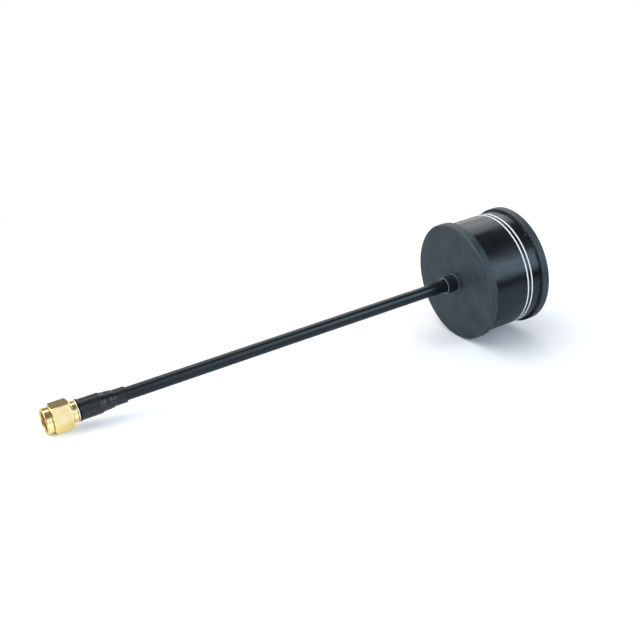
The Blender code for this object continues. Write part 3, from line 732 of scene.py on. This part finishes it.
plug = {
    "reference": 2.9,
    "insulatorBore": 0.64,
    "insulatorRadius": 2.03,
    "insulatorEnd": 8.6,
    "pinTip": 0.9,
    "pinTipRadius": 0.2,
    "pinTaper": 0.4,
    "pinRadius": 0.455,
    "pinBody": 0.605,
    "pinCup": 0.49,
    "pinCupDepth": 2.1,
    "tipRadius": 2.3,
    "tipEnd": 5.0,
    "bodyRadius": 2.5,
    "neckStart": 7.95,
    "neckEnd": 9.25,
    "neckRadius": 3.2,
    "stemRadius": 2.2,
    "stemEnd": 12.55,
    "cableBore": 1.82,
    "ringRadius": 2.5,
    "ringWire": 0.27,
    "ringOpening": 40,
    "ringPoints": 97,
    "gasketInner": 2.33,
    "gasketOuter": 3.2,
    "gasketStart": 4.27,
    "gasketEnd": 4.92,
    "shellSides": 144,
    "insulatorSides": 96,
    "pinSides": 72,
    "gasketSides": 120,
}


def makeShell():
    low, high = nut["ringStation"] - nut["grooveHalf"], nut["ringStation"] + nut["grooveHalf"]
    body, groove = plug["bodyRadius"], plug["ringRadius"] - plug["ringWire"] - clearance
    pocket, pocketEnd = plug["insulatorRadius"] + clearance, plug["insulatorEnd"] + clearance
    shell = [
        (plug["stemRadius"], plug["stemEnd"], 0.05),
        (plug["stemRadius"], plug["neckEnd"], 0.05),
        (plug["neckRadius"], plug["neckEnd"], 0.12),
        (plug["neckRadius"], plug["neckStart"], 0.14),
        (body, plug["neckStart"], 0.03),
        (body, high, 0.03),
        (groove, high, 0),
        (groove, low, 0),
        (body, low, 0.03),
        (body, plug["tipEnd"], 0.06),
        (plug["tipRadius"], plug["tipEnd"], 0.03),
        (plug["tipRadius"], plug["reference"], 0.04),
        (pocket, plug["reference"], 0.03),
        (pocket, pocketEnd, 0),
        (plug["cableBore"], pocketEnd, 0),
        (plug["cableBore"], plug["stemEnd"], 0.03),
    ]
    turned("connectorShell", shell, "shell", "connector_shell", plug["shellSides"])


def makeContact():
    start, end, tip = plug["reference"], plug["insulatorEnd"], plug["pinTip"]
    bore, radius = plug["insulatorBore"], plug["insulatorRadius"]
    insulator = [(bore, start, 0.03), (radius, start, 0.04), (radius, end, 0.04), (bore, end, 0)]
    sides = plug["insulatorSides"]
    turned("contactInsulator", insulator, "insulator", "contact_insulator", sides)
    pin = [
        (0, tip, 0),
        (plug["pinTipRadius"], tip, 0.06),
        (plug["pinRadius"], tip + plug["pinTaper"], 0.1),
        (plug["pinRadius"], start, 0),
        (plug["pinBody"], start, 0.03),
        (plug["pinBody"], end, 0.03),
        (plug["pinCup"], end, 0),
        (plug["pinCup"], end - plug["pinCupDepth"], 0),
        (0, end - plug["pinCupDepth"], 0),
    ]
    turned("centrePin", pin, "shell", "centre_pin", plug["pinSides"], False)


def makeGasket():
    inner, outer = plug["gasketInner"], plug["gasketOuter"]
    start, end = plug["gasketStart"], plug["gasketEnd"]
    gasket = [(inner, start, 0.12), (outer, start, 0.16), (outer, end, 0.12), (inner, end, 0.1)]
    turned("sealingGasket", gasket, "silicone", "sealing_gasket", plug["gasketSides"])


def makeSnapRing():
    curve = bpy.data.curves.new("snapRing", "CURVE")
    curve.dimensions = "3D"
    curve.bevel_depth = plug["ringWire"] * mm
    curve.bevel_resolution = 4
    curve.use_fill_caps = True
    spline = curve.splines.new("POLY")
    last = plug["ringPoints"] - 1
    spline.points.add(last)
    opening, radius = math.radians(plug["ringOpening"]), plug["ringRadius"]
    for index, point in enumerate(spline.points):
        angle = opening / 2 + (2 * math.pi - opening) * index / last
        around = (radius * math.cos(angle), radius * math.sin(angle), nut["ringStation"])
        point.co = (*[part * mm for part in around], 1)
    drawn = addObject("snapRing", curve)
    wire = bmesh.new()
    wire.from_mesh(builtMesh(drawn))
    bpy.data.objects.remove(drawn)
    cleanMesh(wire)
    seat(meshObject("snapRing", wire), "spring", "antenna", "snap_ring", crease=50)


makeShell()
makeContact()
makeGasket()
makeSnapRing()
print("inside of the plug made")


# Ferrule, heat-shrunk boot and stalk

ferrule = {
    "start": 9.35,
    "lipEnd": 9.75,
    "lipRadius": 3.2,
    "radius": 2.675,
    "step": 16.3,
    "tailRadius": 2.32,
    "end": 19.3,
    "frontBore": 2.23,
    "cableBore": 2.02,
    "boreStep": 12.58,
    "sides": 144,
}
boot = {
    "start": 9.78,
    "end": 24.1,
    "wall": 0.415,
    "seats": (2.705, 2.35, 2.02),
    "steps": (16.3, 19.3),
    "shoulders": ((16.3, 0.7), (17.15, 0.3), (18.95, 0.3), (19.82, 0.7)),
    "shoulderLength": 0.5,
    "shoulderEase": 0.4,
    "flare": 0.24,
    "flareStart": 9.9,
    "flareLength": 0.6,
    "lipRound": 0.16,
    "lipPinch": 0.03,
    "cutRound": 0.1,
    "frontWaver": 0.02,
    "rearWaver": 0.03,
    "rearNicks": 0.015,
    "crimpFlats": 6,
    "crimpTurn": 0.35,
    "crimpDepth": 0.05,
    "crimpSpan": (17.0, 19.2),
    "crimpEase": 0.5,
    "rippleDepth": 0.03,
    "rippleAround": 1.1,
    "rippleAlong": 0.34,
    "rippleStart": 10.2,
    "rippleEase": 1.5,
    "creaseStation": 19.84,
    "creaseAngle": -121,
    "creaseSlant": 0.25,
    "creaseDepth": 0.08,
    "creaseWidth": 0.11,
    "creaseTurn": 0.34,
    "foldOffset": 0.34,
    "foldWidth": 0.14,
    "rings": 280,
    "sides": 144,
}
stalk = {"start": 13.05, "end": 142.55, "radius": 1.99, "bore": 1.82, "sides": 96, "steps": 60}


def smoothStep(value):
    value = min(max(value, 0.0), 1.0)
    return value * value * (3 - 2 * value)


def bell(distance, width, power=2):
    return math.exp(-((distance / width) ** power))


def bootSkin(station, angle):
    # radius of the boot's outside at a station and an angle round the axis
    wide, middle, narrow = [bore + boot["wall"] for bore in boot["seats"]]
    radius = wide
    # the tube lets itself down each step of the ferrule in two shoulders
    soft = boot["shoulderEase"]
    for index, (shoulder, part) in enumerate(boot["shoulders"]):
        drop = part * (wide - middle, middle - narrow)[index // 2]
        share = min(max((station - shoulder) / boot["shoulderLength"], 0.0), 1.0)
        radius -= drop * ((1 - soft) * share + soft * smoothStep(share))
    radius += boot["flare"] * (1 - smoothStep((station - boot["flareStart"]) / boot["flareLength"]))
    (low, high), ease = boot["crimpSpan"], boot["crimpEase"]
    inCrimp = smoothStep((station - low) / ease) * smoothStep((high - station) / ease)
    flat = 0.5 - 0.5 * math.cos(boot["crimpFlats"] * (angle + boot["crimpTurn"]))
    radius -= boot["crimpDepth"] * inCrimp * flat ** 1.5
    # a short crease across the camera's side of the second step, with a raised fold behind it
    turn = math.remainder(angle - math.radians(boot["creaseAngle"]), 2 * math.pi)
    past = station - boot["creaseStation"] - boot["creaseSlant"] * turn
    crease = bell(past, boot["creaseWidth"]) - 0.5 * bell(past - boot["foldOffset"], boot["foldWidth"])
    radius -= boot["creaseDepth"] * crease * bell(turn, boot["creaseTurn"], 4)
    around = boot["rippleAround"]
    where = Vector((math.cos(angle) * around, math.sin(angle) * around, station * boot["rippleAlong"]))
    fade = smoothStep((station - boot["rippleStart"]) / boot["rippleEase"])
    return radius + boot["rippleDepth"] * noise.noise(where) * fade


def frontEdge(angle):
    return boot["start"] + boot["frontWaver"] * (1 + math.sin(2 * angle + 0.6))


def rearEdge(angle):
    waver = boot["rearWaver"] * (1 + math.sin(angle + 2.2))
    return boot["end"] - waver - boot["rearNicks"] * math.sin(5 * angle)


def makeBoot():
    sides, rings, end = boot["sides"], boot["rings"], boot["end"]
    front, lip, cut = boot["start"], boot["lipRound"], boot["cutRound"]
    wide, middle, narrow = boot["seats"]
    firstStep, secondStep = [step + clearance for step in boot["steps"]]
    mesh = bmesh.new()
    loops = []

    def addRing(radiusAt, stationAt):
        # a radius or a station is a number, or a function of the angle
        loop = []
        for side in range(sides):
            angle = 2 * math.pi * side / sides
            radius = radiusAt(angle) if callable(radiusAt) else radiusAt
            station = stationAt(angle) if callable(stationAt) else stationAt
            point = (radius * math.cos(angle), radius * math.sin(angle), station)
            loop.append(mesh.verts.new([part * mm for part in point]))
        loops.append(loop)

    # inside, from the rear to the front
    addRing(narrow, rearEdge)
    addRing(narrow, (end + secondStep) / 2)
    addRing(narrow, secondStep)
    addRing(middle, secondStep)
    addRing(middle, firstStep)
    addRing(wide, firstStep)
    addRing(wide, frontEdge)
    for step in range(6):  # rolled front lip
        roll = math.pi / 2 * step / 5
        rise = lip * math.sin(roll) - lip + boot["lipPinch"] * math.sin(2 * roll)
        back = lip * (1 - math.cos(roll))
        addRing(lambda angle: bootSkin(front + lip, angle) + rise, lambda angle: frontEdge(angle) + back)
    for index in range(1, rings):
        station = front + 2 * lip + (end - front - 3.2 * lip) * index / rings
        addRing(lambda angle: bootSkin(station, angle), station)
    for step in range(4):  # cut rear edge
        roll = math.pi / 2 * step / 3
        sink, back = cut * (1 - math.cos(roll)), cut * (1 - math.sin(roll))
        addRing(lambda angle: bootSkin(end, angle) - sink, lambda angle: rearEdge(angle) - back)
    for before, after in zip(loops, loops[1:] + loops[:1]):
        for side in range(sides):
            following = (side + 1) % sides
            mesh.faces.new((before[side], before[following], after[following], after[side]))
    bmesh.ops.recalc_face_normals(mesh, faces=mesh.faces)
    piece = meshObject("heatShrinkBoot", mesh)
    seat(piece, "boot", "antenna", "heat_shrink_boot", crease=50)


def makeFerrule():
    start, end, step = ferrule["start"], ferrule["end"], ferrule["step"]
    radius, lip, tail = ferrule["radius"], ferrule["lipRadius"], ferrule["tailRadius"]
    wideBore, bore = ferrule["frontBore"], ferrule["cableBore"]
    corners = [
        (tail, end, 0.1),
        (tail, step, 0.05),
        (radius, step, 0.1),
        (radius, ferrule["lipEnd"], 0.05),
        (lip, ferrule["lipEnd"], 0.12),
        (lip, start, 0.12),
        (wideBore, start, 0.05),
        (wideBore, ferrule["boreStep"], 0),
        (bore, ferrule["boreStep"], 0),
        (bore, end, 0.05),
    ]
    turned("cableFerrule", corners, "ferrule", "cable_ferrule", ferrule["sides"])


def makeTubeTree():
    # the outer and the inner wall of a tube along a straight line, open at both ends
    tree, given = newTree("drawTube", ("Start", "End", "Radius", "Bore"), ("Sides", "Steps"))
    ends = {}
    for end in ("Start", "End"):
        ends[end] = addNode(tree, "ShaderNodeCombineXYZ", {"Z": given[end]}).outputs["Vector"]
    line = addNode(tree, "GeometryNodeCurvePrimitiveLine", ends).outputs["Curve"]
    points = addNode(tree, "GeometryNodeResampleCurve", {"Curve": line, "Count": given["Steps"]})
    walls = addNode(tree, "GeometryNodeJoinGeometry")
    for size in ("Radius", "Bore"):
        wall = sweep(tree, points.outputs["Curve"], circleCurve(tree, given["Sides"], given[size]))
        tree.links.new(wall, walls.inputs["Geometry"])
    return endTree(tree, given, walls.outputs["Geometry"])


def makeStalk():
    sizes = {"Sides": stalk["sides"], "Steps": stalk["steps"], "Finish": looks["jacket"]}
    for size in ("start", "end", "radius", "bore"):
        sizes[size.title()] = stalk[size] * mm
    drawn = growPiece("stalkJacket", makeTubeTree(), sizes)
    mesh = bmesh.new()
    mesh.from_mesh(drawn.data)
    bpy.data.objects.remove(drawn)
    openEdges = [edge for edge in mesh.edges if edge.is_boundary]
    for level in (stalk["start"], stalk["end"]):
        ends = [edge for edge in openEdges if abs(edge.verts[0].co.z - level * mm) < 0.1 * mm]
        bmesh.ops.bridge_loops(mesh, edges=ends)
    bmesh.ops.recalc_face_normals(mesh, faces=mesh.faces)
    piece = meshObject("stalkJacket", mesh)
    seat(piece, "jacket", "antenna", "cable_jacket", crease=40)


makeFerrule()
makeBoot()
makeStalk()
print("ferrule, boot and stalk made")


# Drum: two caps, sleeve, white lines and glue

drum = {
    "capFace": 139.7,
    "capBack": 142.55,
    "capRadius": 19.7,
    "capEdge": 0.4,
    "spigotRadius": 17.27,
    "spigotWall": 1.3,
    "spigotLength": 1.6,
    "collarRadius": 2.8,
    "collarBore": 2.27,
    "collarHeight": 4.0,
    "collarDepth": 3.4,
    "collarFillet": 0.3,
    "collarLip": 0.09,
    "cableBore": 2.02,
    "sleeveRadius": 18.8,
    "sleeveWall": 1.5,
    "sleeveStart": 142.58,
    "sleeveEnd": 160.9,
    "lineStations": (157.1, 155.55),
    "lineWidth": 0.55,
    "lineDepth": 0.3,
    "paintInset": 0.045,
    "paintBed": 0.03,
    "paintProud": 0.005,
    "lidFace": 161.0,
    "lidBack": 163.7,
    "lidRadius": 19.65,
    "sides": 256,
}


def makeBaseCap():
    face, back, rim, edge = drum["capFace"], drum["capBack"], drum["capRadius"], drum["capEdge"]
    spigot, spigotTip = drum["spigotRadius"], drum["capBack"] + drum["spigotLength"]
    collar, tip = drum["collarRadius"], drum["capFace"] - drum["collarHeight"]
    corners = [
        (spigot - drum["spigotWall"], spigotTip, 0.1),
        (spigot, spigotTip, 0.15),
        (spigot, back, 0.05),
        (rim, back, 0.15),
        (rim, face + edge, 0.12),
        (rim - edge, face, 0.1),
        (collar, face, drum["collarFillet"]),
        (collar, tip, drum["collarLip"]),
        (drum["collarBore"], tip, drum["collarLip"]),
        (drum["collarBore"], tip + drum["collarDepth"], 0),
        (drum["cableBore"], tip + drum["collarDepth"], 0),
        (drum["cableBore"], back, 0),
        (spigot - drum["spigotWall"], back, 0.1),
    ]
    turned("baseCap", corners, "cap", "base_cap", drum["sides"])


def makeTopCap():
    face, back, rim, edge = drum["lidFace"], drum["lidBack"], drum["lidRadius"], drum["capEdge"]
    spigot, spigotTip = drum["spigotRadius"], drum["lidFace"] - drum["spigotLength"]
    corners = [
        (0, back, 0),
        (rim - edge, back, 0.1),
        (rim, back - edge, 0.12),
        (rim, face, 0.15),
        (spigot, face, 0.05),
        (spigot, spigotTip, 0.15),
        (spigot - drum["spigotWall"], spigotTip, 0.1),
        (spigot - drum["spigotWall"], face, 0.1),
        (0, face, 0),
    ]
    turned("topCap", corners, "cap", "top_cap", drum["sides"], False)


def makeSleeve():
    outer, half = drum["sleeveRadius"], drum["lineWidth"] / 2
    inner, bed = outer - drum["sleeveWall"], outer - drum["lineDepth"]
    corners = [(outer, drum["sleeveEnd"], 0.08)]
    for station in drum["lineStations"]:
        high, low = station + half, station - half
        corners += [(outer, high, 0.03), (bed, high, 0), (bed, low, 0), (outer, low, 0.03)]
    corners += [
        (outer, drum["sleeveStart"], 0.08),
        (inner, drum["sleeveStart"], 0.05),
        (inner, drum["sleeveEnd"], 0.05),
    ]
    turned("housingSleeve", corners, "sleeve", "housing_sleeve", drum["sides"])


def makeWhiteLines():
    # paint lies in each groove, a hair clear of its sides and bed, and ends just proud of the sleeve
    half = drum["lineWidth"] / 2 - drum["paintInset"]
    outer = drum["sleeveRadius"] + drum["paintProud"]
    inner = drum["sleeveRadius"] - drum["lineDepth"] + drum["paintBed"]
    names = (("upperWhiteLine", "upper_white_line"), ("lowerWhiteLine", "lower_white_line"))
    for (name, node), station in zip(names, drum["lineStations"]):
        low, high = station - half, station + half
        corners = [(inner, low, 0), (outer, low, 0.03), (outer, high, 0.03), (inner, high, 0)]
        turned(name, corners, "line", node, drum["sides"])


glue = {
    "radius": 18.68,
    "station": 160.93,
    "bead": 0.13,
    "sides": 12,
    "points": 420,
    "wander": 0.11,
    "waves": 260.0,  # to a metre
    "seed": 7.0,
}


def makeGlueTree():
    # a bead that wanders in and out as it goes round
    tree, given = newTree("layGlue", ("Radius", "Bead", "Wander", "Waves", "Seed"), ("Points", "Sides"))
    place = addNode(tree, "GeometryNodeInputPosition").outputs["Position"]
    shift = addNode(
        tree,
        "ShaderNodeTexNoise",
        {"Vector": place, "Scale": given["Waves"], "Detail": 2.0, "W": given["Seed"]},
        noise_dimensions="4D",
    ).outputs["Fac"]
    amount = mathValue(tree, "MULTIPLY", spread(tree, shift, -1, 1), given["Wander"])
    offset = vectorValue(tree, "MULTIPLY", vectorValue(tree, "NORMALIZE", place), amount)
    circle = circleCurve(tree, given["Points"], given["Radius"])
    path = addNode(tree, "GeometryNodeSetPosition", {"Geometry": circle, "Offset": offset})
    profile = circleCurve(tree, given["Sides"], given["Bead"])
    return endTree(tree, given, sweep(tree, path.outputs["Geometry"], profile))


def makeGlueBead():
    sizes = {"Finish": looks["glue"]}
    for size in ("radius", "bead", "wander"):
        sizes[size.title()] = glue[size] * mm
    for size in ("waves", "seed", "points", "sides"):
        sizes[size.title()] = glue[size]
    piece = growPiece("glueBead", makeGlueTree(), sizes)
    piece.data.transform(Matrix.Translation((0, 0, glue["station"] * mm)))
    seat(piece, "glue", "antenna", None, crease=60)


makeBaseCap()
makeTopCap()
makeSleeve()
makeWhiteLines()
makeGlueBead()
print("drum made")


# Cable layers, leaves and solder joints inside, which keep their solids

innerPieces = {
    "copper": ("cable_core", "antenna_leaf_1", "antenna_leaf_2", "antenna_leaf_3", "antenna_leaf_4"),
    "insulator": ("cable_dielectric",),
    "tinned": ("cable_shield",),
    "solder": ("core_solder_joint", "shield_solder_joint"),
}
for look, nodes in innerPieces.items():
    for node in nodes:
        for place in frame["nodes"][node].material_slots:
            place.material = looks[look]
print("inner pieces finished")


# Floor, light and camera, with lengths in metres and angles in degrees

room = {
    "floorSize": 3.0,
    "plugSideColour": (0.98, 0.98, 0.98),
    "drumSideColour": (0.83, 0.83, 0.83),
    "toneChange": (0.005, 0.055),
    "mirroredColour": (0.56, 0.63, 0.68),
    "mirroredChange": (-0.065, -0.045),
    "shadowFill": (0.073, 0.088, 0.11),
    "mirrorFill": (0.05, 0.05, 0.05),
    "clearChange": (0.09, 0.22),
    "clearStretch": (0.6, 1.0, 1.0),
    "upper": 0.17,
    "upperColour": (1.0, 0.99, 0.98),
    "seam": -150,
}
# panels of light round the object: bearings from +Y towards +X and heights above the horizon, each as
# low end, its softness, high end, its softness
panels = {
    "backdrop": {"bearing": (-75, 14, 82, 14), "height": (-20, 10, 20, 10), "colour": (1.2, 1.2, 1.2)},
    "back": {"bearing": (14, 7, 56, 7), "height": (24, 7, 62, 9), "colour": (1.95, 1.93, 1.9)},
    "highBack": {"bearing": (-15, 10, 44, 10), "height": (63, 5, 76, 6), "colour": (2.6, 2.55, 2.5)},
    "front": {"bearing": (108, 16, 154, 12), "height": (7, 10, 29, 8), "colour": (2.7, 3.3, 3.9)},
    "frontHigh": {"bearing": (143, 12, 159, 12), "height": (28, 8, 52, 18), "colour": (4.2, 4.9, 5.5)},
    "frontLeft": {"bearing": (160, 14, 189, 12), "height": (-2, 4, 39, 10), "colour": (0.76, 0.84, 1.02)},
    "left": {"bearing": (-146, 36, -8, 36), "height": (26, 20, 100, 20), "colour": (2.28, 2.3, 2.33)},
}
viewpoint = {
    "place": (-0.145, -0.264414, 0.139402),
    "pitch": 67.998,
    "turn": -29.677,
    "roll": -0.1,
    "lens": 59.67,
    "clip": (0.01, 20),
}
white = (1.0, 1.0, 1.0)


def glow(tree, kind, colour, strength):
    # kind is Emission on a surface, or Background in the world
    return addNode(tree, "ShaderNode" + kind, {"Color": colour, "Strength": strength}).outputs[kind]


def addShaders(tree, first, second):
    return addNode(tree, "ShaderNodeAddShader", {0: first, 1: second}).outputs["Shader"]


def mixShaders(tree, share, first, second):
    return addNode(tree, "ShaderNodeMixShader", {0: share, 1: first, 2: second}).outputs["Shader"]


def makeFloor():
    mesh = bmesh.new()
    bmesh.ops.create_grid(mesh, x_segments=1, y_segments=1, size=room["floorSize"] / 2)
    floor = meshObject("floor", mesh)
    look = bpy.data.materials.new("paleFloor")
    look.use_nodes = True
    tree = look.node_tree
    tree.nodes.clear()
    rays = addNode(tree, "ShaderNodeLightPath").outputs
    place = addNode(tree, "ShaderNodeTexCoord").outputs["Object"]
    sideways = addNode(tree, "ShaderNodeSeparateXYZ", {"Vector": place}).outputs["X"]
    # the gold mirrors the floor in full; past mirroredChange, towards the drum, glossy rays see the floor
    # in mirroredColour, a painted reflection, darker and bluer, that the black plastics mirror
    byPlug = spread(tree, sideways, 1, 0, *room["mirroredChange"])
    mirrored = mathValue(tree, "MULTIPLY", byPlug, rays["Is Glossy Ray"])
    darkened = mathValue(tree, "SUBTRACT", rays["Is Glossy Ray"], mirrored)
    # the floor's colour is darker towards the drum, painted shade that deepens the drum's shadow
    byDrum = spread(tree, sideways, 0, 1, *room["toneChange"])
    tone = blendColour(tree, byDrum, room["plugSideColour"], room["drumSideColour"])
    tone = blendColour(tree, darkened, tone, room["mirroredColour"])
    near = addNode(tree, "ShaderNodeBsdfDiffuse", {"Color": tone}).outputs["BSDF"]
    near = addShaders(tree, near, glow(tree, "Emission", room["shadowFill"], rays["Is Camera Ray"]))
    near = addShaders(tree, near, glow(tree, "Emission", room["mirrorFill"], mirrored))
    # away from the object the floor is plain white to the camera, with no light of its own
    far = glow(tree, "Emission", white, rays["Is Camera Ray"])
    distance = vectorValue(tree, "LENGTH", mapped(tree, place, Scale=room["clearStretch"]))
    share = spread(tree, distance, 0, 1, *room["clearChange"], interpolation_type="SMOOTHSTEP")
    addNode(tree, "ShaderNodeOutputMaterial", {"Surface": mixShaders(tree, share, near, far)})
    floor.data.materials.append(look)


def window(tree, value, span):
    # 1 between the low and the high end, easing to 0 over a soft width centred on each
    low, lowSoft, high, highSoft = [math.radians(part) for part in span]
    shares = []
    for edge, soft, first, last in ((low, lowSoft, 0, 1), (high, highSoft, 1, 0)):
        ends = (edge - soft / 2, edge + soft / 2)
        shares.append(spread(tree, value, first, last, *ends, interpolation_type="SMOOTHSTEP"))
    return mathValue(tree, "MULTIPLY", *shares)


def makeWorld():
    world = bpy.data.worlds.new("paleStudio")
    bpy.context.scene.world = world
    world.use_nodes = True
    tree = world.node_tree
    tree.nodes.clear()
    direction = addNode(tree, "ShaderNodeTexCoord").outputs["Generated"]
    parts = addNode(tree, "ShaderNodeSeparateXYZ", {"Vector": direction}).outputs
    # bearings run once round from the seam, which no panel crosses
    seam = math.radians(room["seam"])
    bearing = mathValue(tree, "ARCTAN2", parts["X"], parts["Y"])
    bearing = mathValue(tree, "WRAP", bearing, seam + 2 * math.pi, seam)
    height = mathValue(tree, "ARCSINE", parts["Z"])
    total = glow(tree, "Background", room["upperColour"], room["upper"])
    for panel in panels.values():
        across = window(tree, bearing, panel["bearing"])
        level = mathValue(tree, "MULTIPLY", across, window(tree, height, panel["height"]))
        total = addShaders(tree, total, glow(tree, "Background", panel["colour"], level))
    backdrop = glow(tree, "Background", white, 1.0)
    rays = addNode(tree, "ShaderNodeLightPath").outputs
    seen = mixShaders(tree, rays["Is Camera Ray"], total, backdrop)
    addNode(tree, "ShaderNodeOutputWorld", {"Surface": seen})


def makeCamera():
    data = bpy.data.cameras.new("photoCamera")
    data.lens = viewpoint["lens"]
    data.clip_start, data.clip_end = viewpoint["clip"]
    camera = addObject("photoCamera", data)
    camera.location = viewpoint["place"]
    aim = Matrix.Identity(3)
    for turn, axis in (("turn", "Z"), ("pitch", "X"), ("roll", "Z")):
        aim = aim @ Matrix.Rotation(math.radians(viewpoint[turn]), 3, axis)
    camera.rotation_euler = aim.to_euler()
    bpy.context.scene.camera = camera


makeFloor()
makeWorld()
makeCamera()
bpy.context.scene.view_settings.view_transform = "Standard"
print("floor, light and camera made")
